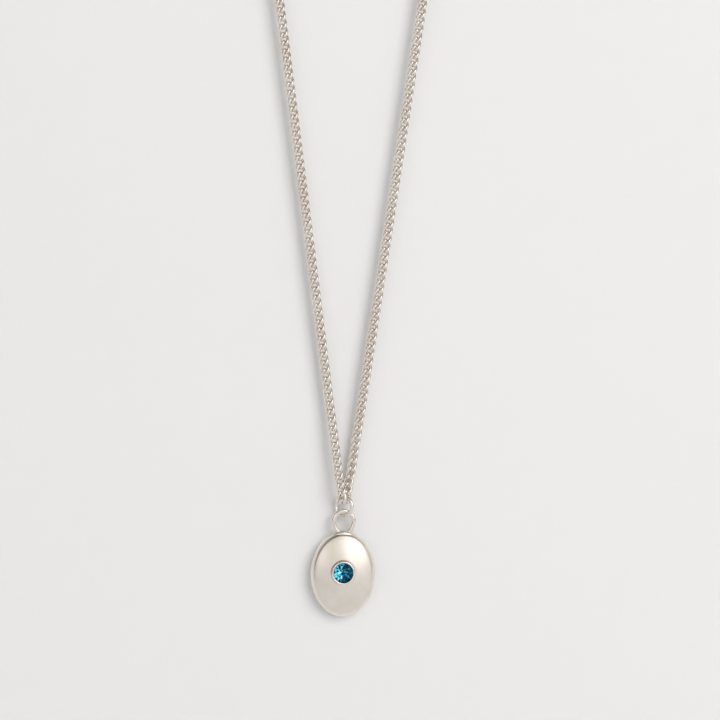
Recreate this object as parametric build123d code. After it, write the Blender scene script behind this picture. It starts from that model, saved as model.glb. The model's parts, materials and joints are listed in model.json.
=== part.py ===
from build123d import *
import math
import os

# Pendant necklace, hanging.  Millimetres.
# Frame: origin at the centre of the pendant's flat back, front of the
# necklace towards -Y, +Z up.  The chain hangs in the plane y = CHAIN_Y.
# Sizes named *_Y are distances in front of the flat back, except CHAIN_Y,
# which is a true coordinate.

# ---------------------------------------------------------------- dimensions
# pendant casting (oval pebble with a flat back)
PEND_W = 9.5          # width, X
PEND_H = 12.4         # height, Z
PEND_T = 3.0          # thickness, flat back to dome crown
BAND_Y = 1.15         # widest line of the side band
CREASE_R = 4.05       # radius (on the short axis) of the crease between band and dome
CREASE_Y = 2.22       # height of that crease
DOME_MID = 0.52       # mid point of the dome arc, as a share of the crease radius
BACK_R = 4.05         # radius of the flat of the back before its rounding
BACK_STOCK = 0.05     # extra metal behind the back, sanded off to leave a true flat

# stone and its tube setting
STONE_X = -0.20       # setting centre
STONE_Z = 0.34
STONE_D = 3.0         # girdle diameter
GIRDLE_Y = 3.02       # girdle mid height
GIRDLE_T = 0.10       # girdle thickness
CROWN_ANGLE = 34.5    # kite facets against the girdle plane
STAR_ANGLE = 22.0     # star facets
UPPER_STEEPER = 6.0   # upper girdle facets, steeper than the kites by
PAV_ANGLE = 41.0      # pavilion mains
LOWER_STEEPER = 1.2   # lower girdle facets, steeper than the mains by
RIM_SHARE = 0.9995    # where the girdle facets meet the rim, share of its radius
TABLE_SHARE = 0.57    # table radius, share of the stone's
CULET_CUT = 0.03      # height taken off the point
TUBE_OD = 3.44        # setting tube outside diameter
TUBE_LIP_D = 2.82     # clear opening of the rolled lip
TUBE_BORE_D = 2.24    # clear bore below the stone's seat
TUBE_FOOT_Y = 1.25    # tube foot
TUBE_TOP_Y = 3.42     # rolled lip
FIT = 0.02            # diametral clearance of the set pieces
SEAT_PLAY = 0.03      # extra room round the stone's rim, along the tube

# soldered loop of the pendant
LOOP_OD = 3.65
LOOP_WIRE = 0.70
LOOP_Z = 7.72         # loop centre height
SEAT_Z = 5.95         # filed flat on the casting that the loop is soldered to
# solder fillet sections: rise above the flat, half size in X, half size in Y
FOOT_SECTIONS = [(0, 1.24, 0.68), (0.12, 1.02, 0.52), (0.34, 0.86, 0.34)]

# jump ring between the loop and the chain
RING_OD = 3.50
RING_WIRE = 0.56
RING_YAW = 45.0       # ring plane turned about Z, right side forward
RING_CUT = 0.05       # width of the closed-up cut, also in the clasp's jump ring
RING_CUT_AT = 162     # polar angle of the cut in the ring's own plane

# curb chain
PITCH = 1.20          # link spacing
WIRE = 0.40           # link wire diameter
LINK_W = 1.58         # link width
GAP = 0.08            # end play between wires
TWIST = 55.0          # twist of the link ends against its middle, each way
ARM_SLOPE = 1.0       # slope of the side arms at their middle, against an even twist
LINKS = 180           # links per side, besides the centre link
RUN_1 = 12            # links in the lowest run
RUN_N = 8             # links in each further run
HALF_ANGLE = 7.9      # strands against the vertical
CHAIN_Y = -1.30       # plane of the chain, loop and jump ring
CENTRE_Z = 10.573     # centre link, which the jump ring rides on
RING_TOP = 0.782      # top of the jump ring's centreline above the centre link
FADE = 9              # links over which the strand comes back to the plane

# clasp at the back of the neck
CLASP_HALF = 6.90     # half of the straight gap between the two chain ends
CRING_WIRE = 0.50     # clasp-side jump ring
CRING_R = 1.25        # its centreline radius
CRING_CUT_AT = 70     # polar angle of its cut
ERING_WIRE = 0.60     # end ring the clasp hooks into
ERING_R = 1.70
EYE_PLAY = 0.14       # play of those rings in the end links, along the chain
LAST_TURNED = 6       # end links turned so the last one opens square to its ring
END_TURN = 20.0       # how far the last one is turned
BODY_T = 1.80         # clasp body thickness
BODY_CHAMFER = 0.22
TAIL_T = 0.90         # thickness of the tail with its eye
TAIL_SETBACK = 0.24   # tail eye beyond the jump ring's centreline
EYE_R = CRING_WIRE / 2 + 0.37
LEVER_T = 0.80        # clasp lever thickness
LEVER_INSET = 0.05    # lever band inside the outlines of the body band
SLOT_T = LEVER_T + 0.12
PIN_D = 0.50          # clasp lever pin
PIN_SHORT = 0.04      # pin shorter than the body is thick
PIVOT_X = 2.75        # lever pivot, from the tail eye
PIVOT_Z = 1.35
POCKET_R = 0.58       # spring pocket in the front of the lever
POCKET_DEPTH = 0.42
COIL_R = 0.42         # return spring
COIL_WIRE = 0.11
COIL_PITCH = 0.135
COIL_TURNS = 2.2
COIL_DEPTH = 0.34     # start of the coil behind the lever's front face

BASE_ALIGN = (Align.CENTER, Align.CENTER, Align.MIN)

os.makedirs("parts", exist_ok=True)


# ------------------------------------------------------------------- helpers
def save(name, shape):
    export_step(shape, "parts/" + name + ".step")


def front_plane(x, y, z):
    # drawing plane seen from the front: its x is +X, its y is +Z
    return Plane(origin=(x, y, z), x_dir=(1, 0, 0), z_dir=(0, -1, 0))


def largest(shape):
    return sorted(shape.solids(), key=lambda solid: solid.volume)[-1]


def cut_ring(radius, wire, angle, block):
    # wire ring about Z with a narrow cut; block is the cutter's size across the wire
    turn = Location((0, 0, 0), (0, 0, angle))
    ring = Torus(radius, wire / 2) - (turn * Pos(radius, 0, 0) * Box(block, RING_CUT, block))
    return ring.solids()[0]


# ------------------------------------------------------------------ one link
# Centreline: each quarter, from the tip of a bow to the middle of a side arm,
# is two tangent arcs.  The bows are turned about x against the middle, which
# is how a curb link is bent to lie flat.  Half turns about the link's axes
# carry the quarter onto the other three.
LINK_HALF_L = (PITCH + WIRE + GAP) / 2
LINK_HALF_W = (LINK_W - WIRE) / 2


def quarter_arcs():
    # two arcs as (start, start tangent, centre, axis, angle)
    twist = math.radians(TWIST)
    tip = Vector(LINK_HALF_L, 0, 0)
    tip_dir = Vector(0, math.cos(twist), math.sin(twist))
    arm = Vector(0, LINK_HALF_W, 0)
    arm_dir = Vector(-LINK_HALF_L, 0, -LINK_HALF_W * twist * ARM_SLOPE).normalized()

    # equal tangent lengths at both ends fix the point where the arcs meet
    span = arm - tip
    along = span.dot(tip_dir + arm_dir)
    spread = 2 * (1 - tip_dir.dot(arm_dir))
    reach = (-along + math.sqrt(along ** 2 + spread * span.dot(span))) / spread
    meet = (tip + tip_dir * reach + arm - arm_dir * reach) * 0.5

    arcs = []
    start, tangent = tip, tip_dir
    for end in (meet, arm):
        chord = end - start
        axis = tangent.cross(chord).normalized()
        to_centre = axis.cross(tangent)
        radius = chord.dot(chord) / (2 * chord.dot(to_centre))
        centre = start + to_centre * radius
        angle = 2 * math.acos(max(-1.0, min(1.0, chord.normalized().dot(tangent))))
        arcs.append((start, tangent, centre, axis, angle))
        tangent = tangent * math.cos(angle) + to_centre * math.sin(angle)
        start = end
    return arcs


def fuse_in_order(pieces):
    fused = pieces[0]
    for piece in pieces[1:]:
        fused = fused + piece
    return fused


def make_link():
    quarter = []
    for start, tangent, centre, axis, angle in quarter_arcs():
        section = Plane(origin=start, z_dir=tangent) * Circle(WIRE / 2)
        quarter.append(revolve(section, Axis(centre, axis), math.degrees(angle)))
    half = quarter + [piece.rotate(Axis.Y, 180) for piece in quarter]
    other_half = [piece.rotate(Axis.X, 180) for piece in half]
    return (fuse_in_order(half) + fuse_in_order(other_half)).solids()[0]


LINK = make_link()


def place_link(centre, along, face):
    # along: chain direction; face: direction of the link's thickness
    origin = Vector(centre) + Vector(0, CHAIN_Y, CENTRE_Z)
    return Plane(origin=origin, x_dir=along, z_dir=face).location * LINK


# ------------------------------------------------- poses of the chain's links
# Each pose is (centre, along, face), relative to the centre link.  The lowest
# three links of each side roll around the jump ring's wire; above them the
# strand is straight.
CENTRE_LINK = ((0, 0, 0), (math.sqrt(0.5), math.sqrt(0.5), 0), (0, 0, 1))
LOW_LINKS = [
    ((-0.4038, -0.7792, 0.5868), (-0.2915, -0.2837, 0.9135), (0.4547, 0.7991, 0.3933)),
    ((-0.6197, -0.9506, 1.7653), (-0.2036, 0.0723, 0.9764), (0.3793, 0.9252, 0.0105)),
    ((-0.7666, -0.7501, 2.9736), (-0.1226, 0.2789, 0.9525), (0.2341, 0.9407, -0.2454)),
]
FIRST_STRAIGHT = Vector(-0.9895, -0.5367, 4.1920)   # centre of link 4


def left_poses():
    # also returns the height of the arc's top above the centre link
    lean_out = math.radians(HALF_ANGLE)
    sin_out, cos_out = math.sin(lean_out), math.cos(lean_out)
    up = Vector(-sin_out, 0, cos_out)
    lean_back = -FIRST_STRAIGHT.Y / (FADE * PITCH)
    low_dir = Vector(up.X, lean_back, up.Z).normalized()
    poses = list(LOW_LINKS)
    for j in range(FADE):
        poses.append((FIRST_STRAIGHT + low_dir * (PITCH * j), low_dir, (0, -1, 0)))
    start = FIRST_STRAIGHT + low_dir * (PITCH * FADE)
    start = Vector(start.X, 0, start.Z)

    # arc that carries the strand over to the level clasp section
    sweep_angle = math.pi / 2 + lean_out
    placed = len(poses)
    run = (LINKS - placed - 1) * PITCH
    radius = (run * sin_out - CLASP_HALF - start.X) / (cos_out + sweep_angle * sin_out)
    straight = run - radius * sweep_angle
    arc_z = (start + up * straight).Z + radius * sin_out
    for index in range(placed, LINKS):
        travel = (index - placed) * PITCH
        if travel <= straight:
            centre, along = start + up * travel, up
        else:
            polar = math.pi + lean_out - (travel - straight) / radius
            centre = Vector(-CLASP_HALF + radius * math.cos(polar), 0,
                            arc_z + radius * math.sin(polar))
            along = Vector(math.sin(polar), 0, -math.cos(polar))
        # the last few links are turned about the chain to open square to the end rings
        share = max(0, index + 1 - (LINKS - LAST_TURNED)) / LAST_TURNED
        turn = math.radians(END_TURN) * share
        face = (-math.sin(turn) * along.Z, -math.cos(turn), math.sin(turn) * along.X)
        poses.append((centre, along, face))
    return poses, arc_z + radius


def half_turn(vector):
    # half turn about the vertical through the chain plane
    x, y, z = vector
    return (-x, -y, z)


LEFT, TOP_RISE = left_poses()
RIGHT = [tuple(half_turn(vector) for vector in pose) for pose in LEFT]
TOP_Z = TOP_RISE + CENTRE_Z


def save_chain():
    save("chain_centre_link", Compound(children=[place_link(*CENTRE_LINK)]))
    breaks = [0] + list(range(RUN_1, LINKS, RUN_N)) + [LINKS]
    for side, poses in (("left", LEFT), ("right", RIGHT)):
        for i, (first, end) in enumerate(zip(breaks, breaks[1:]), 1):
            links = [place_link(*pose) for pose in poses[first:end]]
            save("chain_%s_%02d" % (side, i), Compound(children=links))


# --------------------------------------------------------------- pendant body
def seat_box(vertical_align):
    # block that ends at the level of the filed flat
    return Pos(0, 0, SEAT_Z) * Box(20, 20, 10, align=(Align.CENTER, Align.CENTER, vertical_align))


def make_pendant():
    # turned profile of a round pebble, then stretched upright to the oval
    sag = PEND_T - CREASE_Y
    dome_r = (CREASE_R ** 2 + sag ** 2) / (2 * sag)
    mid_r = CREASE_R * DOME_MID
    dome_mid = (mid_r, PEND_T - (dome_r - math.sqrt(dome_r ** 2 - mid_r ** 2)))
    profile = (
        Line((0, -BACK_STOCK), (BACK_R, -BACK_STOCK))
        + Line((BACK_R, -BACK_STOCK), (BACK_R, 0))
        + Spline((BACK_R, 0), (PEND_W / 2, BAND_Y), (CREASE_R, CREASE_Y),
                 tangents=((1, 0), (-0.92, 0.72)))
        + ThreePointArc((CREASE_R, CREASE_Y), dome_mid, (0, PEND_T))
        + Line((0, PEND_T), (0, -BACK_STOCK))
    )
    pebble = revolve(make_face(profile), Axis.Y, 360).solids()[0]
    pebble = scale(pebble, by=(1, 1, PEND_H / PEND_W))
    # profile height grew towards +Y; turn it so the dome faces the front
    pebble = pebble.rotate(Axis.Z, 180)

    bore_foot = TUBE_FOOT_Y - FIT
    bore = front_plane(STONE_X, -bore_foot, STONE_Z) * Cylinder(
        (TUBE_OD + FIT) / 2, PEND_T + 2 - bore_foot, align=BASE_ALIGN)
    behind = Box(30, 5, 30, align=(Align.CENTER, Align.MIN, Align.CENTER))
    # the block above leaves the small flat which the loop is soldered to
    return (((pebble - behind) - seat_box(Align.MIN)) - bore).solids()[0]


# --------------------------------------------------------------- setting tube
def make_tube():
    # Section in (radius, height above the back): straight outer wall, rolled lip
    # over the girdle, a seat under the girdle and a clear bore below.
    outer = TUBE_OD / 2
    rim = (STONE_D + FIT) / 2
    lip = TUBE_LIP_D / 2
    bore = TUBE_BORE_D / 2
    girdle_low = GIRDLE_Y - GIRDLE_T / 2 - FIT
    girdle_high = GIRDLE_Y + GIRDLE_T / 2 + FIT
    lip_y = girdle_high + (rim - lip) * math.tan(math.radians(CROWN_ANGLE)) + SEAT_PLAY
    seat_y = girdle_low - (rim - bore) * math.tan(math.radians(PAV_ANGLE)) - SEAT_PLAY
    wall_top = (outer, TUBE_TOP_Y - 0.16)
    crest = (outer - 0.17, TUBE_TOP_Y)
    profile = (
        Polyline((outer, TUBE_FOOT_Y), wall_top)
        + ThreePointArc(wall_top, (outer - 0.055, TUBE_TOP_Y - 0.05), crest)
        + ThreePointArc(crest, (lip + 0.035, TUBE_TOP_Y - 0.04), (lip, lip_y))
        + Polyline((lip, lip_y), (rim, girdle_high + SEAT_PLAY), (rim, girdle_low - SEAT_PLAY),
                   (bore, seat_y), (bore, TUBE_FOOT_Y), (outer, TUBE_FOOT_Y))
    )
    tube = revolve(make_face(profile), Axis.Y, 360).solids()[0]
    return tube.rotate(Axis.Z, 180).moved(Location((STONE_X, 0, STONE_Z)))


# ---------------------------------------------------------------------- stone
def plane_cut(body, tilt, azimuth, radius, height):
    # remove everything outside a plane whose normal is tilted from the axis;
    # the plane passes through this radius and height on its azimuth
    t, a = math.radians(tilt), math.radians(azimuth)
    normal = (math.sin(t) * math.cos(a), math.sin(t) * math.sin(a), math.cos(t))
    point = (radius * math.cos(a), radius * math.sin(a), height)
    return body - Plane(origin=point, z_dir=normal) * Box(12, 12, 6, align=BASE_ALIGN)


def make_stone():
    # round brilliant, cut with its axis on Z, table up and girdle plane at z = 0
    rim = STONE_D / 2
    girdle = GIRDLE_T / 2
    table_r = TABLE_SHARE * rim
    star_r = table_r * math.cos(math.radians(22.5))
    table_z = girdle + (rim - table_r * 1.03) * math.tan(math.radians(CROWN_ANGLE))
    culet_z = -girdle - rim * math.tan(math.radians(PAV_ANGLE)) + CULET_CUT
    upper_tilt = CROWN_ANGLE + UPPER_STEEPER
    lower_tilt = 180 - PAV_ANGLE - LOWER_STEEPER
    stone = Cylinder(rim, 4.0)
    for i in range(8):
        azimuth = 45 * i
        stone = plane_cut(stone, CROWN_ANGLE, azimuth, rim, girdle)              # kite
        stone = plane_cut(stone, STAR_ANGLE, azimuth + 22.5, star_r, table_z)    # star
        stone = plane_cut(stone, 180 - PAV_ANGLE, azimuth, rim, -girdle)         # main
    for i in range(16):
        azimuth = 22.5 * i + 11.25
        stone = plane_cut(stone, upper_tilt, azimuth, rim * RIM_SHARE, girdle)
        stone = plane_cut(stone, lower_tilt, azimuth, rim * RIM_SHARE, -girdle)
    stone = plane_cut(stone, 0, 0, 0, table_z)
    stone = plane_cut(stone, 180, 0, 0, culet_z)
    return front_plane(STONE_X, -GIRDLE_Y, STONE_Z).location * stone.solids()[0]


# ------------------------------------------------------- loop and jump ring
def make_loop():
    radius = (LOOP_OD - LOOP_WIRE) / 2
    loop = front_plane(0, CHAIN_Y, LOOP_Z) * Torus(radius, LOOP_WIRE / 2)
    # short flared foot of solder between the loop and the filed flat
    foot = loft([Pos(0, CHAIN_Y, SEAT_Z + rise) * Ellipse(half_x, half_y)
                 for rise, half_x, half_y in FOOT_SECTIONS])
    return largest((loop - seat_box(Align.MAX)) + foot)


def make_jump_ring():
    radius = (RING_OD - RING_WIRE) / 2
    yaw = math.radians(RING_YAW)
    plane = Plane(origin=(0, CHAIN_Y, CENTRE_Z + RING_TOP - radius),
                  x_dir=(math.cos(yaw), -math.sin(yaw), 0),
                  z_dir=(math.sin(yaw), math.cos(yaw), 0))
    return plane.location * cut_ring(radius, RING_WIRE, RING_CUT_AT, 1.2)


# ---------------------------------------------------------------------- clasp
# Local clasp coordinates: x along the necklace from the tail eye towards the
# hook, z up; origin at the tail eye.  Plates are extruded along Y.
def ring_offset(wire, radius):
    # from the centre of an end link to the centre of the ring through it
    return LINK_HALF_L - (WIRE / 2 + wire / 2 + EYE_PLAY) + radius


CRING_X = -CLASP_HALF + ring_offset(CRING_WIRE, CRING_R)
ERING_X = CLASP_HALF - ring_offset(ERING_WIRE, ERING_R)
TAIL_X = CRING_X + CRING_R + TAIL_SETBACK
LEVER_FRONT = CHAIN_Y - LEVER_T / 2


def plate(sketch, thick):
    return extrude(front_plane(TAIL_X, CHAIN_Y, TOP_Z) * sketch, amount=thick / 2, both=True)


def pivot_plane(y):
    return front_plane(TAIL_X + PIVOT_X, y, TOP_Z + PIVOT_Z)


def band_outer(inset=0):
    return Pos(5.0, 0) * Ellipse(3.75 - inset, 2.45 - inset)


def band_inner(inset=0):
    return Pos(5.15, 0) * Ellipse(2.55 + inset, 1.45 + inset)


def make_clasp_body():
    gate = Pos(5.0, 1.7) * Rectangle(2.9, 3.4)              # opening in the top of the band
    body = plate(band_outer() - band_inner() - gate, BODY_T)
    layers = body.edges().group_by(Axis.Y)
    body = chamfer(layers[0] + layers[-1], BODY_CHAMFER)
    tail = Circle(1.15) + Pos(1.1, 0) * Rectangle(2.2, 1.5)
    body = body + (plate(tail, TAIL_T) - plate(band_inner(), 3) - plate(Circle(EYE_R), 3))
    # slot for the lever, rounded about its pivot
    slot = plate(Pos(2.35, 2.05) * Rectangle(2.6, 3.3), SLOT_T)
    slot_round = plate(Pos(PIVOT_X, PIVOT_Z) * Circle(0.98), SLOT_T)
    pin_hole = pivot_plane(CHAIN_Y) * Cylinder(PIN_D / 2 + 0.01, 4)
    return largest(body - slot - slot_round - pin_hole)


def make_clasp_lever():
    band = band_outer(LEVER_INSET) - band_inner(LEVER_INSET)
    keep = Pos(4.52, 1.9) * Rectangle(3.68, 2.2)            # part of the band the lever fills
    boss = Pos(PIVOT_X, PIVOT_Z) * Circle(0.80)
    tab = Pos(2.55, 2.45) * Rotation(0, 0, 62) * SlotOverall(1.7, 0.72)
    lever = plate((band & keep) + boss + tab, LEVER_T)
    lever = lever - pivot_plane(CHAIN_Y) * Cylinder(PIN_D / 2 + 0.03, 4)
    pocket = pivot_plane(LEVER_FRONT + POCKET_DEPTH) * Cylinder(POCKET_R, 2, align=BASE_ALIGN)
    return largest(lever - pocket)


def make_clasp_pin():
    return (pivot_plane(CHAIN_Y) * Cylinder(PIN_D / 2, BODY_T - PIN_SHORT)).solids()[0]


def make_clasp_spring():
    # small coil round the pin, inside the lever's pocket
    path = Helix(COIL_PITCH, COIL_PITCH * COIL_TURNS, COIL_R)
    section = Plane(origin=path @ 0, z_dir=path % 0) * Circle(COIL_WIRE / 2)
    coil = sweep(section, path=path, is_frenet=True)
    return pivot_plane(LEVER_FRONT + COIL_DEPTH).location * coil.solids()[0]


def make_clasp_jump_ring():
    ring = cut_ring(CRING_R, CRING_WIRE, CRING_CUT_AT, 1)
    return ring.moved(Location((CRING_X, CHAIN_Y, TOP_Z)))


def make_clasp_end_ring():
    return Torus(ERING_R, ERING_WIRE / 2).moved(Location((ERING_X, CHAIN_Y, TOP_Z)))


# --------------------------------------------------------------------- output
save("pendant_body", make_pendant())
save("bezel_tube", make_tube())
save("stone", make_stone())
save("pendant_loop", make_loop())
save("jump_ring", make_jump_ring())
save_chain()
save("clasp_body", make_clasp_body())
save("clasp_lever", make_clasp_lever())
save("clasp_pin", make_clasp_pin())
save("clasp_spring", make_clasp_spring())
save("clasp_jump_ring", make_clasp_jump_ring())
save("clasp_end_ring", make_clasp_end_ring())
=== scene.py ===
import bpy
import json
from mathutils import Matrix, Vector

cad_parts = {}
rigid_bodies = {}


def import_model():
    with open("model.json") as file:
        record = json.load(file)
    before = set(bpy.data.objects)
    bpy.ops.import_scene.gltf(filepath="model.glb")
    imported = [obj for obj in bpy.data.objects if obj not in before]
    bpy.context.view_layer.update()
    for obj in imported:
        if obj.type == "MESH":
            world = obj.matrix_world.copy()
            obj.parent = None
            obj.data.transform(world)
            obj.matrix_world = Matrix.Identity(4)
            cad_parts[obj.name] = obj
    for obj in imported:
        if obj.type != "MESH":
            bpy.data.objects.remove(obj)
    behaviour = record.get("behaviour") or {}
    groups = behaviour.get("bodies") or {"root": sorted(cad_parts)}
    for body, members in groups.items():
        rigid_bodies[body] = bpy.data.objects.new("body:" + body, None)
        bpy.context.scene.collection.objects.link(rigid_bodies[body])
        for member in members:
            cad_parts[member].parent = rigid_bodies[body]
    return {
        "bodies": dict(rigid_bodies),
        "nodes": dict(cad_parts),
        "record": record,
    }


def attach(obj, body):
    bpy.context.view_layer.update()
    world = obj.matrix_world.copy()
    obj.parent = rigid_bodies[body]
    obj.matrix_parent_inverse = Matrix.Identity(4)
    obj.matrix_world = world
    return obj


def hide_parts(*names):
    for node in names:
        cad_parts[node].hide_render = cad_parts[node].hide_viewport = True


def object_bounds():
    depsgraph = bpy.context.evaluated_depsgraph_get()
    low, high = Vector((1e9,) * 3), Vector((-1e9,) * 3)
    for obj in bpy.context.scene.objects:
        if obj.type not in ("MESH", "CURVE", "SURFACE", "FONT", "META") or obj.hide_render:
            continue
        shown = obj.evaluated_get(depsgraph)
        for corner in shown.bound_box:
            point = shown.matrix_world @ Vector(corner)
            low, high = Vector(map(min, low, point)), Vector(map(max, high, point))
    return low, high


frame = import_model()

import json
import math

import bpy
import numpy as np
from mathutils import Vector, Matrix

lo0, hi0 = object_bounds()
MM = 0.001
rec = frame["record"]

# ---------------------------------------------------------------- dimensions
# Millimetres in the shared frame, as in the CAD source.
PEND_W, PEND_H, PEND_T = 9.5, 12.4, 3.0
BAND_Y, CREASE_R, CREASE_Y, BACK_R = 1.15, 4.05, 2.22, 4.05
STONE_X, STONE_Z, STONE_D = -0.20, 0.34, 3.0
GIRDLE_Y, GIRDLE_T = 3.02, 0.10
TUBE_OD, TUBE_LIP_D, TUBE_FOOT_Y, TUBE_TOP_Y = 3.44, 2.82, 1.25, 3.42
CHAIN_Y = -1.30
LOOP_R, LOOP_WIRE, LOOP_Z, SEAT_Z = 1.475, 0.70, 7.72, 5.95
RING_R, RING_WIRE, RING_YAW = 1.47, 0.56, 45.0
RING_Z = 10.573 + 0.782 - RING_R


# ------------------------------------------------------------------- helpers
def new_mesh(name, verts, faces, smooth=True):
    me = bpy.data.meshes.new(name)
    me.from_pydata([(v[0] * MM, v[1] * MM, v[2] * MM) for v in verts], [], faces)
    me.validate()
    me.update()
    for p in me.polygons:
        p.use_smooth = smooth
    ob = bpy.data.objects.new(name, me)
    bpy.context.scene.collection.objects.link(ob)
    return ob


def catmull(points, n):
    # smooth open curve through the points, n samples per span
    pts = [np.array(p, float) for p in points]
    pts = [2 * pts[0] - pts[1]] + pts + [2 * pts[-1] - pts[-2]]
    out = []
    for i in range(1, len(pts) - 2):
        p0, p1, p2, p3 = pts[i - 1 : i + 3]
        for k in range(n):
            t = k / n
            out.append(0.5 * ((2 * p1) + (p2 - p0) * t + (2 * p0 - 5 * p1 + 4 * p2 - p3) * t * t
                              + (3 * p1 - p0 - 3 * p2 + p3) * t ** 3))
    out.append(pts[-2])
    return out


def turned(name, profile, seg=128, stretch=1.0, centre=(0, 0), closed=False):
    # profile: (radius, height above the back); axis along -Y through centre
    verts, faces, rings = [], [], []
    for r, h in profile:
        if r < 1e-6:
            rings.append([len(verts)])
            verts.append((centre[0], -h, centre[1]))
            continue
        ring = []
        for k in range(seg):
            a = 2 * math.pi * k / seg
            ring.append(len(verts))
            verts.append((centre[0] + r * math.cos(a), -h, centre[1] + r * stretch * math.sin(a)))
        rings.append(ring)
    pairs = list(zip(rings, rings[1:]))
    if closed:
        pairs.append((rings[-1], rings[0]))
    for a, b in pairs:
        for k in range(seg):
            j = (k + 1) % seg
            if len(a) == 1:
                faces.append((a[0], b[j], b[k]))
            elif len(b) == 1:
                faces.append((a[k], a[j], b[0]))
            else:
                faces.append((a[k], a[j], b[j], b[k]))
    ob = new_mesh(name, verts, faces)
    fix_normals(ob)
    return ob


def fix_normals(ob):
    import bmesh
    bm = bmesh.new()
    bm.from_mesh(ob.data)
    bmesh.ops.recalc_face_normals(bm, faces=bm.faces)
    bm.to_mesh(ob.data)
    bm.free()


def tube_mesh(name, path, radii, seg=32, closed=False):
    # round wire along a planar path of (point, side vector, up vector)
    verts, faces = [], []
    n = len(path)
    for (p, u, v), r in zip(path, radii):
        for k in range(seg):
            a = 2 * math.pi * k / seg
            q = Vector(p) + Vector(u) * (r * math.cos(a)) + Vector(v) * (r * math.sin(a))
            verts.append(tuple(q))
    for i in range(n if closed else n - 1):
        for k in range(seg):
            a, b = i * seg + k, i * seg + (k + 1) % seg
            c, d = ((i + 1) % n) * seg + (k + 1) % seg, ((i + 1) % n) * seg + k
            faces.append((a, b, c, d))
    if not closed:
        faces.append(tuple(range(seg))[::-1])
        faces.append(tuple((n - 1) * seg + k for k in range(seg)))
    ob = new_mesh(name, verts, faces)
    fix_normals(ob)
    return ob


def apply_modifiers(ob):
    dg = bpy.context.evaluated_depsgraph_get()
    me = bpy.data.meshes.new_from_object(ob.evaluated_get(dg))
    ob.modifiers.clear()
    ob.data = me
    for p in me.polygons:
        p.use_smooth = True


# ----------------------------------------------------------------- materials
def silver(name, base, rough, scratch=0.04, scale=900.0, bump=0.02, warm=0.0):
    m = bpy.data.materials.new(name)
    m.use_nodes = True
    nt = m.node_tree
    n = nt.nodes
    b = n["Principled BSDF"]
    b.inputs["Metallic"].default_value = 1.0
    co = n.new("ShaderNodeTexCoord")
    no = n.new("ShaderNodeTexNoise")
    no.inputs["Scale"].default_value = scale
    no.inputs["Detail"].default_value = 5.0
    nt.links.new(co.outputs["Object"], no.inputs["Vector"])
    mr = n.new("ShaderNodeMapRange")
    mr.inputs["To Min"].default_value = max(0.02, rough - scratch)
    mr.inputs["To Max"].default_value = rough + scratch
    nt.links.new(no.outputs["Fac"], mr.inputs["Value"])
    nt.links.new(mr.outputs["Result"], b.inputs["Roughness"])
    lowf = n.new("ShaderNodeTexNoise")
    lowf.inputs["Scale"].default_value = scale * 0.12
    lowf.inputs["Detail"].default_value = 2.0
    nt.links.new(co.outputs["Object"], lowf.inputs["Vector"])
    ramp = n.new("ShaderNodeValToRGB")
    ramp.color_ramp.elements[0].position = 0.3
    ramp.color_ramp.elements[0].color = (base[0] * 0.94, base[1] * (0.93 - warm), base[2] * (0.90 - warm), 1)
    ramp.color_ramp.elements[1].position = 0.7
    ramp.color_ramp.elements[1].color = (*base, 1)
    nt.links.new(lowf.outputs["Fac"], ramp.inputs["Fac"])
    nt.links.new(ramp.outputs["Color"], b.inputs["Base Color"])
    bp = n.new("ShaderNodeBump")
    bp.inputs["Strength"].default_value = bump
    bp.inputs["Distance"].default_value = 0.00002
    nt.links.new(no.outputs["Fac"], bp.inputs["Height"])
    nt.links.new(bp.outputs["Normal"], b.inputs["Normal"])
    return m


M_CHAIN = silver("chain_silver", (0.90, 0.86, 0.81), 0.16, 0.05, 2500, 0.04, 0.03)
M_CLASP = silver("clasp_silver", (0.90, 0.87, 0.83), 0.18, 0.05, 1500, 0.04)
M_RING = silver("ring_silver", (0.93, 0.90, 0.86), 0.14, 0.04, 1800, 0.03, 0.02)
M_PEND = silver("pendant_silver", (0.91, 0.86, 0.805), 0.34, 0.05, 4200, 0.22, 0.0)
M_LOOP = silver("loop_silver", (0.92, 0.89, 0.85), 0.15, 0.04, 1800, 0.03, 0.02)
nt = M_LOOP.node_tree
_co = nt.nodes.new("ShaderNodeTexCoord")
_xyz = nt.nodes.new("ShaderNodeSeparateXYZ")
nt.links.new(_co.outputs["Object"], _xyz.inputs["Vector"])
_ramp = nt.nodes.new("ShaderNodeMapRange")
_ramp.interpolation_type = "SMOOTHSTEP"
_ramp.inputs["From Min"].default_value = 6.2 * MM
_ramp.inputs["From Max"].default_value = 7.0 * MM
_ramp.inputs["To Min"].default_value = 0.22
_ramp.inputs["To Max"].default_value = 0.0
nt.links.new(_xyz.outputs["Z"], _ramp.inputs["Value"])
_sum = nt.nodes.new("ShaderNodeMath")
_b = nt.nodes["Principled BSDF"]
nt.links.new(_b.inputs["Roughness"].links[0].from_socket, _sum.inputs[0])
nt.links.new(_ramp.outputs["Result"], _sum.inputs[1])
nt.links.new(_sum.outputs[0], _b.inputs["Roughness"])
M_BEZEL = silver("bezel_silver", (0.93, 0.91, 0.88), 0.10, 0.03, 1800, 0.02)


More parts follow.
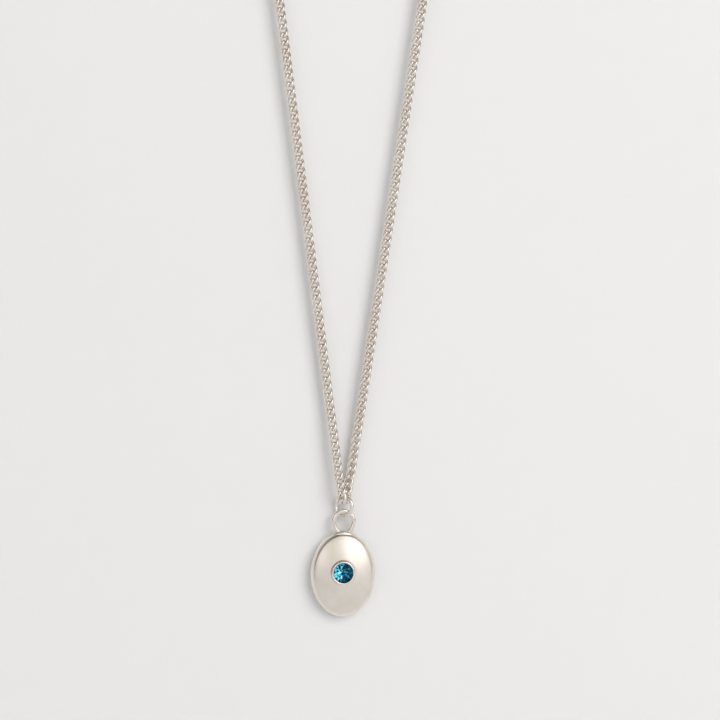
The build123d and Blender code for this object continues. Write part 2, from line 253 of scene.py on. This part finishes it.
def stone_material():
    # The crown is clear and tinted; the pavilion under it carries painted reflections, painted shade and painted
    # sparkle, seen through it.
    m = bpy.data.materials.new("stone")
    m.use_nodes = True
    nt = m.node_tree
    n = nt.nodes
    for x in list(n):
        n.remove(x)
    out = n.new("ShaderNodeOutputMaterial")
    facet = n.new("ShaderNodeAttribute")
    facet.attribute_name = "facet"
    crown = n.new("ShaderNodeAttribute")
    crown.attribute_name = "crown"

    # pavilion: painted reflections and painted shade, tone steps from navy to bright cyan, facet by facet
    ramp = n.new("ShaderNodeValToRGB")
    ramp.color_ramp.interpolation = "LINEAR"
    e = ramp.color_ramp.elements
    e[0].position, e[0].color = 0.0, (0.0008, 0.016, 0.034, 1)
    e[1].position, e[1].color = 1.0, (0.50, 0.95, 1.0, 1)
    for pos, col in ((0.35, (0.002, 0.060, 0.110)), (0.60, (0.005, 0.17, 0.28)), (0.82, (0.05, 0.42, 0.58))):
        k = e.new(pos)
        k.color = (*col, 1)
    co = n.new("ShaderNodeTexCoord")
    cells = n.new("ShaderNodeTexVoronoi")
    cells.inputs["Scale"].default_value = 2600.0
    nt.links.new(co.outputs["Object"], cells.inputs["Vector"])
    sep = n.new("ShaderNodeSeparateColor")
    nt.links.new(cells.outputs["Color"], sep.inputs["Color"])
    jitter = n.new("ShaderNodeMapRange")
    jitter.inputs["To Min"].default_value = -0.12
    jitter.inputs["To Max"].default_value = 0.12
    nt.links.new(sep.outputs["Red"], jitter.inputs["Value"])
    add = n.new("ShaderNodeMath")
    add.operation = "ADD"
    add.use_clamp = True
    nt.links.new(facet.outputs["Fac"], add.inputs[0])
    nt.links.new(jitter.outputs["Result"], add.inputs[1])
    nt.links.new(add.outputs[0], ramp.inputs["Fac"])
    pav = n.new("ShaderNodeBsdfPrincipled")
    pav.inputs["Roughness"].default_value = 0.18
    pav.inputs["Specular IOR Level"].default_value = 0.25
    nt.links.new(ramp.outputs["Color"], pav.inputs["Base Color"])
    # the pavilion glows in its own painted colours as painted sparkle, though it is no lamp
    nt.links.new(ramp.outputs["Color"], pav.inputs["Emission Color"])
    pav.inputs["Emission Strength"].default_value = 0.75

    # crown: transparent, each facet tinted a little differently as painted glints and painted shade, with a crisp
    # gloss
    tint = n.new("ShaderNodeValToRGB")
    tint.color_ramp.elements[0].color = (0.03, 0.28, 0.40, 1)
    tint.color_ramp.elements[1].color = (0.75, 1.0, 1.0, 1)
    nt.links.new(facet.outputs["Fac"], tint.inputs["Fac"])
    clear = n.new("ShaderNodeBsdfTransparent")
    nt.links.new(tint.outputs["Color"], clear.inputs["Color"])
    gloss = n.new("ShaderNodeBsdfGlossy")
    gloss.inputs["Roughness"].default_value = 0.03
    fres = n.new("ShaderNodeFresnel")
    fres.inputs["IOR"].default_value = 1.33
    top = n.new("ShaderNodeMixShader")
    nt.links.new(fres.outputs["Fac"], top.inputs["Fac"])
    nt.links.new(clear.outputs[0], top.inputs[1])
    nt.links.new(gloss.outputs[0], top.inputs[2])
    mix = n.new("ShaderNodeMixShader")
    nt.links.new(crown.outputs["Fac"], mix.inputs["Fac"])
    nt.links.new(pav.outputs[0], mix.inputs[1])
    nt.links.new(top.outputs[0], mix.inputs[2])
    nt.links.new(mix.outputs[0], out.inputs["Surface"])
    return m


M_STONE = stone_material()
FINISH = {"chain_silver": M_CHAIN, "clasp_silver": M_CLASP, "ring_silver": M_RING,
          "pendant_silver": M_PEND, "bezel_silver": M_BEZEL, "stone": M_STONE}


def dress(ob, slot, material=None):
    ob.data.materials.clear()
    ob.data.materials.append(material or FINISH[slot])


# ------------------------------------------------------- CAD pieces kept as is
slot_of = {s["node"]: s["material_slot"] for s in rec["subparts"]}
for name, ob in frame["nodes"].items():
    dress(ob, slot_of[name])
    for p in ob.data.polygons:
        p.use_smooth = True

# ----------------------------------------------------------------- chain links
# Every link keeps its place, length and twist. The wire is drawn out to its
# full thickness, so that neighbours close up on each other as in a tight curb.
SWELL, INSET = 0.050 * MM, 0.085 * MM


def full_links(node):
    src = frame["nodes"][node]
    me = src.data
    n = len(me.vertices)
    co = np.empty(n * 3)
    me.vertices.foreach_get("co", co)
    co = co.reshape(-1, 3)
    me.calc_loop_triangles()
    tri = np.empty(len(me.loop_triangles) * 3, int)
    me.loop_triangles.foreach_get("vertices", tri)
    key, back = np.unique(np.round(co / 2e-7).astype(np.int64), axis=0, return_inverse=True)
    back = back.reshape(-1)
    pts = np.zeros((len(key), 3))
    pts[back] = co
    tri = back[tri].reshape(-1, 3)
    tri = tri[(tri[:, 0] != tri[:, 1]) & (tri[:, 1] != tri[:, 2]) & (tri[:, 0] != tri[:, 2])]
    # one label per separate link
    lab = np.arange(len(pts))
    edges = np.concatenate([tri[:, [0, 1]], tri[:, [1, 2]]])
    while True:
        old = lab.copy()
        low = np.minimum(lab[edges[:, 0]], lab[edges[:, 1]])
        np.minimum.at(lab, edges[:, 0], low)
        np.minimum.at(lab, edges[:, 1], low)
        lab = lab[lab]
        if (lab == old).all():
            break
    nrm = np.zeros_like(pts)
    fn = np.cross(pts[tri[:, 1]] - pts[tri[:, 0]], pts[tri[:, 2]] - pts[tri[:, 0]])
    for k in range(3):
        np.add.at(nrm, tri[:, k], fn)
    nrm /= np.maximum(np.linalg.norm(nrm, axis=1, keepdims=True), 1e-30)
    out = pts + nrm * SWELL
    for v in np.unique(lab):
        m = lab == v
        p = pts[m]
        mid = (p.max(0) + p.min(0)) / 2
        q = p - p.mean(0)
        side = np.linalg.eigh(q.T @ q)[1][:, 1]
        x = (p - p.mean(0)) @ side
        out[m] -= np.outer(INSET * np.tanh(x / (0.28 * MM)), side)
    new = bpy.data.meshes.new(node.title())
    new.from_pydata(out.tolist(), [], tri.tolist())
    new.polygons.foreach_set("use_smooth", np.ones(len(tri), bool))
    new.update()
    ob = bpy.data.objects.new("Links_" + node, new)
    bpy.context.scene.collection.objects.link(ob)
    return ob


body_of_node = {nd: b for b, nds in rec["behaviour"]["bodies"].items() for nd in nds}
for name in sorted(frame["nodes"]):
    if name.startswith("chain_"):
        piece = full_links(name)
        dress(piece, "chain_silver")
        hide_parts(name)
        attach(piece, body_of_node[name])

# --------------------------------------------------------------- pendant body
band = catmull([(BACK_R, 0.0), (BACK_R + 0.42, 0.16), (PEND_W / 2 - 0.04, 0.72), (PEND_W / 2, BAND_Y),
                (PEND_W / 2 - 0.10, 1.60), (CREASE_R + 0.30, 2.02), (CREASE_R + 0.04, CREASE_Y - 0.03)], 10)
sag = PEND_T - CREASE_Y
dome_r = (CREASE_R ** 2 + sag ** 2) / (2 * sag)
dome = []
for k in range(1, 61):
    r = (CREASE_R - 0.06) * (1 - k / 60)
    dome.append((r, PEND_T - (dome_r - math.sqrt(dome_r ** 2 - r * r))))
back = [(BACK_R * k / 10, 0.0) for k in range(10)]
profile = back + [tuple(p) for p in band] + dome
pend = turned("Pendant", profile, 240, PEND_H / PEND_W)
for v in pend.data.vertices:
    rho = math.hypot(v.co.x / MM - STONE_X, v.co.z / MM - STONE_Z)
    if v.co.y < -2.0 * MM and rho < 1.86:
        if rho < 1.60:
            v.co.y = -1.30 * MM
        else:
            t = (rho - 1.60) / 0.26
            v.co.y += 0.13 * MM * (1 - t * t * (3 - 2 * t))
pend.data.update()
dress(pend, "pendant_silver")
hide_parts("pendant_body")
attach(pend, "pendant")

# ----------------------------------------------------------------- bezel tube
ro, rl = TUBE_OD / 2, TUBE_LIP_D / 2
lip = []
for k in range(0, 25):
    a = math.pi * k / 24
    mid, half = (ro + rl) / 2, (ro - rl) / 2
    lip.append((mid + half * math.cos(a), TUBE_TOP_Y - 0.15 + 0.15 * math.sin(a)))
tube_profile = [(ro - 0.12, PEND_T - 0.6), (ro - 0.12, PEND_T + 0.02), (ro - 0.09, PEND_T + 0.09), (ro - 0.01, PEND_T + 0.15)] + lip + [
    (rl + 0.01, GIRDLE_Y + 0.12), (STONE_D / 2 + 0.01, GIRDLE_Y + 0.05), (STONE_D / 2 + 0.01, GIRDLE_Y - 0.06),
    (1.12, GIRDLE_Y - 0.42), (1.12, PEND_T - 0.6)]
bezel = turned("Bezel_tube", tube_profile, 128, 1.0, (STONE_X, STONE_Z), closed=True)
dress(bezel, "bezel_silver")
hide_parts("bezel_tube")
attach(bezel, "pendant")


# ---------------------------------------------------------------------- stone
def brilliant():
    # round brilliant: table octagon, star / kite / upper girdle, pavilion
    R = STONE_D / 2
    t = 0.57 * R
    ch = 0.44
    ph = 1.22
    pts = {}
    verts = []

    def add(key, r, a, h):
        pts[key] = len(verts)
        verts.append((STONE_X + r * math.cos(a), -(GIRDLE_Y + h), STONE_Z + r * math.sin(a)))

    g = GIRDLE_T / 2
    off = math.radians(9)
    for i in range(8):
        a = math.pi * i / 4 + off
        add(("t", i), t, a, g + ch)                         # table corners
        add(("k", i), (t + R) / 2 * 1.045, a + math.pi / 8, g + ch * 0.50)   # star tips
    for i in range(16):
        a = math.pi * i / 8 + off
        add(("g", i), R, a, g)
        add(("h", i), R, a, -g)
    for i in range(16):
        a = math.pi * i / 8 + off
        add(("q", i), R * 0.62, a + math.pi / 16, -g - ph * 0.42)
    for i in range(8):
        a = math.pi * i / 4 + off
        add(("p", i), R * 0.27, a + math.pi / 8, -g - ph * 0.76)
    add("c", 0.0, 0.0, -g - ph)
    f, val, top = [], [], []

    def face(keys, v, crown=0.0):
        f.append([pts[k] for k in keys])
        val.append(v)
        top.append(crown)

    # painted light on the pavilion: tones run round the stone, bright at the upper left and navy shade at the lower
    # right
    def painted_facet_light(a, spread, rng):
        # painted sparkle: most facets within 24 degrees of 168 degrees are set to full brightness
        if abs((math.degrees(a) - 168 + 180) % 360 - 180) < 24 and rng.random() < 0.7:
            return 1.0
        return min(1.0, max(0.0, 0.38 + 0.24 * math.cos(a - math.radians(150)) + spread * (rng.random() - 0.5)))

    rng = np.random.default_rng(23)
    # crown facet values: the table pale, the others random, seen as painted glints through the tinted crown
    face([("t", i) for i in range(8)], 0.85, 1.0)
    for i in range(8):
        j = (i + 1) % 8
        face([("t", i), ("t", j), ("k", i)], 0.2 + 0.8 * rng.random(), 1.0)                   # star
        face([("t", j), ("k", i), ("g", (2 * i + 2) % 16), ("k", j)], 0.1 + 0.8 * rng.random(), 1.0)  # kite
        face([("k", i), ("g", 2 * i), ("g", 2 * i + 1)], 0.8 * rng.random(), 1.0)
        face([("k", i), ("g", 2 * i + 1), ("g", (2 * i + 2) % 16)], 0.8 * rng.random(), 1.0)
    for i in range(16):
        j = (i + 1) % 16
        face([("g", i), ("g", j), ("h", j), ("h", i)], 0.3)
    for i in range(16):
        j = (i + 1) % 16
        m = off + math.pi * i / 8
        face([("h", i), ("h", j), ("q", i)], painted_facet_light(m, 1.2, rng))
        face([("h", j), ("q", j), ("q", i)], painted_facet_light(m, 1.2, rng))
    for i in range(8):
        j = (i + 1) % 8
        m = off + math.pi * i / 4 + math.pi / 8
        face([("q", 2 * i), ("q", 2 * i + 1), ("p", i)], painted_facet_light(m, 1.3, rng))
        face([("q", 2 * i + 1), ("q", (2 * i + 2) % 16), ("p", j)], painted_facet_light(m, 1.3, rng))
        face([("q", 2 * i + 1), ("p", j), ("p", i)], painted_facet_light(m, 1.3, rng))
        face([("p", i), ("p", j), "c"], painted_facet_light(m, 1.3, rng))
    ob = new_mesh("Stone", verts, f, smooth=False)
    for key, data in (("facet", val), ("crown", top)):
        at = ob.data.attributes.new(key, "FLOAT", "FACE")
        at.data.foreach_set("value", np.array(data, np.float32))
    fix_normals(ob)
    return ob


stone = brilliant()
dress(stone, "stone")
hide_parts("stone")
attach(stone, "pendant")

# -------------------------------------------------------------- pendant loop
path = []
for k in range(160):
    a = 2 * math.pi * k / 160
    d = Vector((math.cos(a), 0, math.sin(a)))
    drop = 0.30 * max(0.0, (-math.sin(a) - 0.25) / 0.75) ** 1.8
    path.append((Vector((0, CHAIN_Y, LOOP_Z)) + d * (LOOP_R + drop), d, Vector((0, 1, 0))))
loop = tube_mesh("Pendant_loop", path, [LOOP_WIRE / 2] * 160, 40, closed=True)
# solder foot: flared ellipse sections, then the two are melted into one skin
verts, faces = [], []
sections = [(5.50, 1.90, 0.62), (5.80, 1.66, 0.62), (5.98, 1.40, 0.60), (6.12, 1.12, 0.54), (6.24, 0.86, 0.44), (6.34, 0.60, 0.32)]
for z, rx, ry in sections:
    for k in range(64):
        a = 2 * math.pi * k / 64
        verts.append((rx * math.cos(a), CHAIN_Y + ry * math.sin(a), z))
for i in range(len(sections) - 1):
    for k in range(64):
        j = (k + 1) % 64
        faces.append((i * 64 + k, i * 64 + j, (i + 1) * 64 + j, (i + 1) * 64 + k))
faces.append(tuple(range(64))[::-1])
faces.append(tuple((len(sections) - 1) * 64 + k for k in range(64)))
foot = new_mesh("foot", verts, faces)
fix_normals(foot)
bm_join = [loop, foot]
import bmesh
bm = bmesh.new()
for o in bm_join:
    bm.from_mesh(o.data)
me = bpy.data.meshes.new("Pendant_loop")
bm.to_mesh(me)
bm.free()
bpy.data.objects.remove(foot)
loop.data = me
rm = loop.modifiers.new("melt", "REMESH")
rm.mode = "VOXEL"
rm.voxel_size = 0.035 * MM
sm = loop.modifiers.new("flow", "SMOOTH")
sm.factor = 0.6
sm.iterations = 22
apply_modifiers(loop)
dress(loop, "ring_silver", M_LOOP)
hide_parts("pendant_loop")
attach(loop, "pendant")

# ------------------------------------------------------------------ jump ring
yaw = math.radians(RING_YAW)
u = Vector((math.cos(yaw), -math.sin(yaw), 0))
nrm = Vector((math.sin(yaw), math.cos(yaw), 0))
path = []
gap = 0.025 / RING_R
start = math.radians(162)
for k in range(181):
    a = start + gap + (2 * math.pi - 2 * gap) * k / 180
    d = u * math.cos(a) + Vector((0, 0, 1)) * math.sin(a)
    path.append((Vector((0, CHAIN_Y, RING_Z)) + d * RING_R, d, nrm))
ring = tube_mesh("Jump_ring", path, [RING_WIRE / 2] * 181, 36)
dress(ring, "ring_silver")
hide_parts("jump_ring")
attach(ring, "jump_ring")

# -------------------------------------------------------- backdrop and floor
WALL_GAP = 0.0001


def stage_material(name, value):
    m = bpy.data.materials.new(name)
    m.use_nodes = True
    nt = m.node_tree
    n = nt.nodes
    b = n["Principled BSDF"]
    b.inputs["Roughness"].default_value = 0.9
    b.inputs["Specular IOR Level"].default_value = 0.0
    no = n.new("ShaderNodeTexNoise")
    no.inputs["Scale"].default_value = 40.0
    rp = n.new("ShaderNodeValToRGB")
    rp.color_ramp.elements[0].color = (value * 0.985,) * 3 + (1,)
    rp.color_ramp.elements[1].color = (value, value, value, 1)
    nt.links.new(no.outputs["Fac"], rp.inputs["Fac"])
    nt.links.new(rp.outputs["Color"], b.inputs["Base Color"])
    return m


def quad(name, pts, mat):
    me = bpy.data.meshes.new(name)
    me.from_pydata(pts, [], [(0, 1, 2, 3)])
    ob = bpy.data.objects.new(name, me)
    bpy.context.scene.collection.objects.link(ob)
    me.materials.append(mat)
    return ob


wall_m = stage_material("wall", 0.86)
nt = wall_m.node_tree
out = nt.nodes["Material Output"]
geo = nt.nodes.new("ShaderNodeNewGeometry")
tr = nt.nodes.new("ShaderNodeBsdfTransparent")
mx = nt.nodes.new("ShaderNodeMixShader")
path_info = nt.nodes.new("ShaderNodeLightPath")
near = nt.nodes.new("ShaderNodeMath")
near.operation = "LESS_THAN"
near.inputs[1].default_value = 0.35 * MM
nt.links.new(path_info.outputs["Ray Length"], near.inputs[0])
either = nt.nodes.new("ShaderNodeMath")
either.operation = "MAXIMUM"
nt.links.new(geo.outputs["Backfacing"], either.inputs[0])
nt.links.new(near.outputs[0], either.inputs[1])
nt.links.new(either.outputs[0], mx.inputs["Fac"])
nt.links.new(nt.nodes["Principled BSDF"].outputs[0], mx.inputs[1])
nt.links.new(tr.outputs[0], mx.inputs[2])
nt.links.new(mx.outputs[0], out.inputs["Surface"])
wy = 0.00004
lean = (hi0.y + WALL_GAP - wy) / 0.200
wall = quad("Wall", [(-1.5, -0.045 * lean, -0.045), (1.5, -0.045 * lean, -0.045), (1.5, 1.8 * lean, 1.8), (-1.5, 1.8 * lean, 1.8)], wall_m)
wall.location.y = wy
# the wall keeps behind the necklace when it is posed
drv = wall.driver_add("location", 1).driver
drv.type = "SCRIPTED"
v1 = drv.variables.new()
v1.name = "p"
v1.type = "TRANSFORMS"
v1.targets[0].id = frame["bodies"]["pendant"]
v1.targets[0].transform_type = "LOC_Y"
v1.targets[0].transform_space = "WORLD_SPACE"
v2 = drv.variables.new()
v2.name = "r"
v2.type = "TRANSFORMS"
v2.targets[0].id = frame["bodies"]["left_run_10"]
v2.targets[0].transform_type = "ROT_X"
v2.targets[0].transform_space = "WORLD_SPACE"
drv.expression = "%f + 1.8 * max(p, 0) + 0.02 * abs(r)" % wy
floor_m = stage_material("floor", 0.80)
nt = floor_m.node_tree
seen = nt.nodes.new("ShaderNodeLightPath")
even = nt.nodes.new("ShaderNodeEmission")
even.inputs["Color"].default_value = (0.80, 0.80, 0.795, 1)
pick = nt.nodes.new("ShaderNodeMixShader")
nt.links.new(seen.outputs["Is Camera Ray"], pick.inputs["Fac"])
nt.links.new(nt.nodes["Principled BSDF"].outputs[0], pick.inputs[1])
nt.links.new(even.outputs[0], pick.inputs[2])
nt.links.new(pick.outputs[0], nt.nodes["Material Output"].inputs["Surface"])
floor = quad("Floor", [(-3, -3, -0.045), (3, -3, -0.045), (3, 3, -0.045), (-3, 3, -0.045)], floor_m)

# -------------------------------------------------------------------- lights
DIFFUSE_SKY = 0.53
world = bpy.data.worlds.new("World")
bpy.context.scene.world = world
world.use_nodes = True
nt = world.node_tree
bg = nt.nodes["Background"]
bg.inputs["Strength"].default_value = 1.0
co = nt.nodes.new("ShaderNodeTexCoord")


def toward(direction, stops):
    # a colour that depends on the angle from one direction; stops are (cosine, colour)
    dt = nt.nodes.new("ShaderNodeVectorMath")
    dt.operation = "DOT_PRODUCT"
    dt.inputs[1].default_value = Vector(direction).normalized()
    nt.links.new(co.outputs["Generated"], dt.inputs[0])
    mr = nt.nodes.new("ShaderNodeMapRange")
    mr.inputs["From Min"].default_value = -1
    mr.inputs["From Max"].default_value = 1
    nt.links.new(dt.outputs["Value"], mr.inputs["Value"])
    rp = nt.nodes.new("ShaderNodeValToRGB")
    e = rp.color_ramp.elements
    stops = [((c + 1) / 2, col) for c, col in stops]
    e[0].position, e[0].color = stops[0][0], (*stops[0][1], 1)
    e[1].position, e[1].color = stops[-1][0], (*stops[-1][1], 1)
    for p, col in stops[1:-1]:
        k = e.new(p)
        k.color = (*col, 1)
    nt.links.new(mr.outputs["Result"], rp.inputs["Fac"])
    return rp.outputs["Color"]


room_r = toward((0, -1, 0), [(-0.60, (0.60, 0.58, 0.55)), (-0.12, (0.16, 0.13, 0.10)), (0.16, (0.16, 0.13, 0.10)),
                             (0.40, (0.60, 0.58, 0.55)), (1.0, (0.70, 0.67, 0.63))])
room_l = toward((0, -1, 0), [(-0.60, (0.60, 0.58, 0.55)), (-0.12, (0.05, 0.034, 0.022)), (0.36, (0.06, 0.042, 0.030)),
                             (0.60, (0.54, 0.52, 0.49)), (1.0, (0.70, 0.67, 0.63))])
which = toward((-0.80, 0.0, 0.60), [(-0.15, (0, 0, 0)), (0.45, (1, 1, 1))])
room_mix = nt.nodes.new("ShaderNodeMix")
room_mix.data_type = "RGBA"
nt.links.new(which, room_mix.inputs["Factor"])
nt.links.new(room_r, room_mix.inputs["A"])
nt.links.new(room_l, room_mix.inputs["B"])
room = room_mix.outputs["Result"]
box = toward((0.27, -0.78, 0.57), [(0.84, (0, 0, 0)), (0.99, (0.27, 0.266, 0.262))])
gloss_sky = nt.nodes.new("ShaderNodeMix")
gloss_sky.data_type = "RGBA"
gloss_sky.blend_type = "ADD"
gloss_sky.inputs["Factor"].default_value = 1.0
nt.links.new(room, gloss_sky.inputs["A"])
nt.links.new(box, gloss_sky.inputs["B"])
lp = nt.nodes.new("ShaderNodeLightPath")
soft = nt.nodes.new("ShaderNodeMix")
soft.data_type = "RGBA"
nt.links.new(lp.outputs["Is Diffuse Ray"], soft.inputs["Factor"])
nt.links.new(gloss_sky.outputs["Result"], soft.inputs["A"])
soft.inputs["B"].default_value = (DIFFUSE_SKY, DIFFUSE_SKY, DIFFUSE_SKY, 1)
mixc = nt.nodes.new("ShaderNodeMix")
mixc.data_type = "RGBA"
nt.links.new(lp.outputs["Is Camera Ray"], mixc.inputs["Factor"])
nt.links.new(soft.outputs["Result"], mixc.inputs["A"])
mixc.inputs["B"].default_value = (0.80, 0.80, 0.80, 1)
nt.links.new(mixc.outputs["Result"], bg.inputs["Color"])


def area(name, loc, target, size, watts, colour=(1, 1, 1), size_y=None):
    d = bpy.data.lights.new(name, "AREA")
    d.energy = watts
    d.size = size
    if size_y:
        d.shape = "RECTANGLE"
        d.size_y = size_y
    d.color = colour
    ob = bpy.data.objects.new(name, d)
    bpy.context.scene.collection.objects.link(ob)
    ob.location = loc
    ob.rotation_euler = (Vector(target) - Vector(loc)).to_track_quat("-Z", "Y").to_euler()
    ob.visible_camera = False
    return ob


area("Key", (0.42, -0.70, 0.36), (0, 0, 0.03), 0.62, 1.2, (1.0, 0.985, 0.97))
# the same lamp again for the backdrop only, so that the silver's highlight doesn't burn out
wash = area("Wash", (0.42, -0.70, 0.36), (0, 0, 0.03), 0.62, 3.0, (1.0, 0.985, 0.97))
wash.visible_glossy = False
area("Fill", (-0.50, -0.70, 0.25), (0, 0, 0.03), 0.45, 0.35, (1.0, 0.98, 0.96))

# -------------------------------------------------------------------- camera
# Long lens, from slightly to the necklace's own left-hand side.
PX = 0.1460 * MM              # width of one picture element at the pendant, 720 across
AZ, EL, ROLL = -8.0, 0.0, 0.8
LENS = 100.0
cam_d = bpy.data.cameras.new("Camera")
cam_d.lens = LENS
cam_d.sensor_width = 36.0
cam = bpy.data.objects.new("Camera", cam_d)
bpy.context.scene.collection.objects.link(cam)
bpy.context.scene.camera = cam
a, el = math.radians(AZ), math.radians(EL)
back_v = Vector((math.sin(a) * math.cos(el), -math.cos(a) * math.cos(el), math.sin(el)))
dist = (720 * PX) * LENS / 36.0
right = Vector((math.cos(a), math.sin(a), 0))
up = back_v.cross(right)
# the pendant's middle sits at (343.6, 574) of 720 x 720
aim = Vector((0, -0.0012, 0)) + right * ((360 - 343.0) * PX) + up * ((574 - 360) * PX)
cam.location = aim + back_v * dist
rot = Matrix((right, up, back_v)).transposed().to_4x4()
cam.matrix_world = Matrix.Translation(aim + back_v * dist) @ rot
cam.rotation_mode = "QUATERNION"
cam_d.clip_start, cam_d.clip_end = 0.01, 10.0
# roll about the middle of the pendant
piv = Vector((0, -0.0012, 0))
roll = Matrix.Translation(piv) @ Matrix.Rotation(math.radians(ROLL), 4, back_v) @ Matrix.Translation(-piv)
cam.matrix_world = roll @ cam.matrix_world

bpy.context.scene.view_settings.view_transform = "Standard"
bpy.context.scene.view_settings.look = "None"
